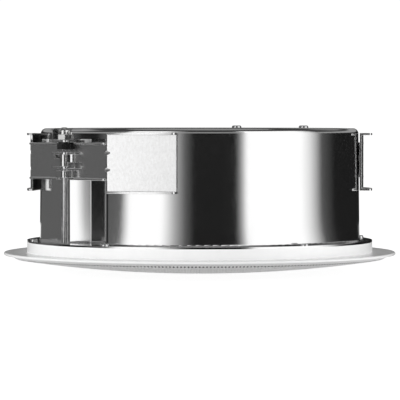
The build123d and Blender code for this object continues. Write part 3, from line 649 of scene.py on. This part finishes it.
def soft_ring(node, profile, count):
    """Ring of the profile in count sectors."""
    wide, steps = len(profile), ROUND_STEPS // count
    for c in range(count):
        verts = []
        faces = [tuple(range(wide)), tuple(range((steps + 1) * wide - 1, steps * wide - 1, -1))]
        for k in range(steps + 1):
            a = 2 * math.pi * (c + k / steps) / count
            verts += [(r * math.cos(a), r * math.sin(a), z) for r, z in profile]
        for k in range(0, steps * wide, wide):
            for j in range(wide):
                m = (j + 1) % wide
                faces.append((k + j, k + wide + j, k + wide + m, k + m))
        piece = mesh_object(f"{node}_{c + 1}", verts, faces)
        dress(piece, SLOT_OF[node])
        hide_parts(node)
        a = 2 * math.pi * (c + 0.5) / count
        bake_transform(piece)


soft_ring("spider", spider_profile(), SPIDER_SECTORS)
soft_ring("surround", surround_profile(), SURROUND_SECTORS)

for node_name, node in NODES.items():
    dress(node, SLOT_OF[node_name])


# Stage: pale floor, soft light, and a ring of studio cards that only reflections see
WHITE = (1, 1, 1, 1)
FLOOR_HALF = 6.0
FLOOR_GREY = 0.35
FLOOR_GLOW = 0.87


def light_path(n):
    """1 for rays that should see a white background, 0 for rays that light the object."""
    path = n.add("ShaderNodeLightPath")
    seen = n.math("ADD", path.outputs["Is Camera Ray"], path.outputs["Is Glossy Ray"])
    seen = n.math("ADD", seen, path.outputs["Is Transmission Ray"])
    return n.math("MINIMUM", seen, 1.0)


# brightness of the soft light by the height of its direction, from straight down to straight up
SOFT_LIGHT = [(0.0, 0.38), (0.25, 0.45), (0.40, 1.02), (0.55, 1.06), (0.68, 0.70), (0.82, 0.38), (1.0, 0.34)]


def build_world():
    world = bpy.data.worlds.new("studio")
    SCENE.world = world
    n = Nodes(world, "ShaderNodeOutputWorld")
    back = n.add("ShaderNodeBackground")
    back.inputs["Color"].default_value = WHITE
    tex = n.add("ShaderNodeTexCoord")
    split = n.add("ShaderNodeSeparateXYZ")
    n.link(tex.outputs["Generated"], split.inputs["Vector"])
    rise = n.math("ADD", n.math("MULTIPLY", split.outputs["Z"], 0.5), 0.5)
    n.link(n.math("MAXIMUM", light_path(n), n.ramp(rise, SOFT_LIGHT)), back.inputs["Strength"])
    n.link(back.outputs["Background"], n.out.inputs["Surface"])


def build_floor():
    corners = [(-1, -1), (1, -1), (1, 1), (-1, 1)]
    verts = [(x * FLOOR_HALF, y * FLOOR_HALF, GRILLE_LOW) for x, y in corners]
    floor = mesh_object("floor", verts, [(0, 1, 2, 3)], False)
    n = Nodes(bpy.data.materials.new("floor_pale"))
    plain = n.add("ShaderNodeBsdfDiffuse")
    plain.inputs["Color"].default_value = (FLOOR_GREY, FLOOR_GREY, FLOOR_GREY, 1)
    glow = n.add("ShaderNodeEmission")
    glow.inputs["Color"].default_value = WHITE
    n.link(n.math("MULTIPLY", light_path(n), FLOOR_GLOW), glow.inputs["Strength"])
    both = n.add("ShaderNodeAddShader")
    n.link(plain.outputs["BSDF"], both.inputs[0])
    n.link(glow.outputs["Emission"], both.inputs[1])
    n.link(both.outputs["Shader"], n.out.inputs["Surface"])
    floor.data.materials.append(n.owner)
    floor.visible_diffuse = False


# a flat ring of cards just over the floor, and a drum of them that goes on from its edge
DRUM_R = 2.0
DRUM_TOP = 4.0
TABLE_R = 0.119
TABLE_EDGE = 0.80
TABLE_Z = GRILLE_LOW + 0.0005
# azimuth from -Y toward +X, in degrees, and the brightness of the cards there
CARDS = [
    # grey card behind the left clamp
    (-180, 0.014), (-140, 0.03), (-118, 0.10), (-106, 0.115), (-90, 0.012), (-76, 0.01),
    # dim card beside the left one
    (-69, 0.09), (-56, 0.11),
    # bright left card, with a long soft edge towards the camera
    (-52, 0.7), (-49, 1.1), (-26, 1.1), (-17, 0.42), (-10, 0.10), (-4, 0.01),
    # bright right card, with a soft edge towards the back
    (25, 0.01), (29, 0.35), (33, 1.1), (75, 1.1), (83, 0.78), (95, 0.08), (110, 0.01), (180, 0.012)]
# bright part of the flat ring behind the object
TABLE_BACK = [(-180, 0.9), (-158, 0.9), (-148, 0.10), (-135, 0.0), (150, 0.0), (168, 0.5), (180, 0.9)]
# height over the floor as a share of the drum's, and the brightness there: how the cards fade out, and the
# strip of light all round
CARD_FADE = [(0.0, 1.0), (0.37, 1.0), (0.46, 0.0)]
STRIP = [(0.0, 0.0), (0.07, 0.0), (0.09, 0.3), (0.18, 0.3), (0.21, 0.05), (0.96, 0.05), (1.0, 0.25)]
# overhead card, behind and to the left: brightness by azimuth, and by height
OVERHEAD_TURN = [
    (-180, 0.2), (-138, 0.2), (-128, 0.3), (-106, 0.3), (-84, 0.0), (100, 0.0), (140, 0.2), (180, 0.2)]
OVERHEAD_RISE = [(0.0, 0.0), (0.22, 0.0), (0.30, 1.0), (0.48, 1.0), (0.60, 0.0)]


def by_turn(stops):
    """Stops by azimuth in degrees as shares of a full turn."""
    return [((a + 180) / 360, v) for a, v in stops]


def card_object(name, rings, table):
    """Cards that light reflections only, as the table's flat ring or as the drum with its lid; rings are
    radius and height from the inside out."""
    verts, faces = [], []
    for r, z in rings:
        for k in range(ROUND_STEPS):
            a = 2 * math.pi * k / ROUND_STEPS
            verts.append((r * math.cos(a), r * math.sin(a), z))
    last = (len(rings) - 1) * ROUND_STEPS
    for row in range(0, last, ROUND_STEPS):
        for k in range(ROUND_STEPS):
            a, b = row + k, row + (k + 1) % ROUND_STEPS
            faces.append((a, b, b + ROUND_STEPS, a + ROUND_STEPS))
    if not table:
        faces.append(tuple(range(last, last + ROUND_STEPS)))
    cards = mesh_object(name, verts, faces, False)
    n = Nodes(bpy.data.materials.new(name))
    tex = n.add("ShaderNodeTexCoord")
    split = n.add("ShaderNodeSeparateXYZ")
    n.link(tex.outputs["Object"], split.inputs["Vector"])
    angle = n.math("ARCTAN2", split.outputs["X"], n.math("MULTIPLY", split.outputs["Y"], -1.0))
    turn = n.math("ADD", n.math("DIVIDE", angle, 2 * math.pi), 0.5)
    light = n.ramp(turn, by_turn(CARDS))
    if table:
        light = n.math("MAXIMUM", light, n.ramp(turn, by_turn(TABLE_BACK)))
    else:
        height = n.math("SUBTRACT", split.outputs["Z"], GRILLE_LOW)
        height = n.math("DIVIDE", height, DRUM_TOP - GRILLE_LOW)
        overhead = n.math("MULTIPLY", n.ramp(turn, by_turn(OVERHEAD_TURN)), n.ramp(height, OVERHEAD_RISE))
        light = n.math("MULTIPLY", light, n.ramp(height, CARD_FADE))
        light = n.math("MAXIMUM", light, n.math("MAXIMUM", n.ramp(height, STRIP), overhead))
    glow = n.add("ShaderNodeEmission")
    n.link(light, glow.inputs["Strength"])
    n.link(glow.outputs["Emission"], n.out.inputs["Surface"])
    cards.data.materials.append(n.owner)
    cards.visible_camera = False
    cards.visible_diffuse = False
    cards.visible_transmission = False
    cards.visible_shadow = False


# name, place, size in metres and power in watts
LAMPS = [("key", (-1.8, -0.85, 0.45), 0.9, 20.5), ("fill", (1.8, -0.85, 0.40), 1.2, 20)]
LAMP_AIM = (0, 0, 0.03)


def facing(at, aim):
    """Rotation of a lamp or camera that looks from one point at another."""
    return (Vector(aim) - Vector(at)).to_track_quat("-Z", "Y").to_euler()


def area_lamp(name, at, size, power):
    """Square lamp that reflections don't show."""
    data = bpy.data.lights.new(name, "AREA")
    data.shape = "SQUARE"
    data.size = size
    data.energy = power
    lamp = bpy.data.objects.new(name, data)
    lamp.location = at
    lamp.rotation_euler = facing(at, LAMP_AIM)
    lamp.visible_glossy = False
    SCENE.collection.objects.link(lamp)


build_world()
build_floor()
card_object("table_cards", [(TABLE_R, TABLE_Z), (TABLE_EDGE, TABLE_Z)], True)
card_object("studio_cards", [(TABLE_EDGE, TABLE_Z), (DRUM_R, TABLE_Z), (DRUM_R, DRUM_TOP)], False)
for lamp_values in LAMPS:
    area_lamp(*lamp_values)

# Camera, fitted to the photograph's outline
CAMERA_AT = (0.0, -1.300, 0.066)
CAMERA_AIM = (0.0002, 0.0, 0.0301)
SENSOR_WIDTH = 36.0
LENS = 198.7
camera_data = bpy.data.cameras.new("camera")
camera_data.sensor_width = SENSOR_WIDTH
camera_data.lens = LENS
camera = bpy.data.objects.new("camera", camera_data)
camera.location = CAMERA_AT
camera.rotation_euler = facing(CAMERA_AT, CAMERA_AIM)
SCENE.collection.objects.link(camera)
SCENE.camera = camera
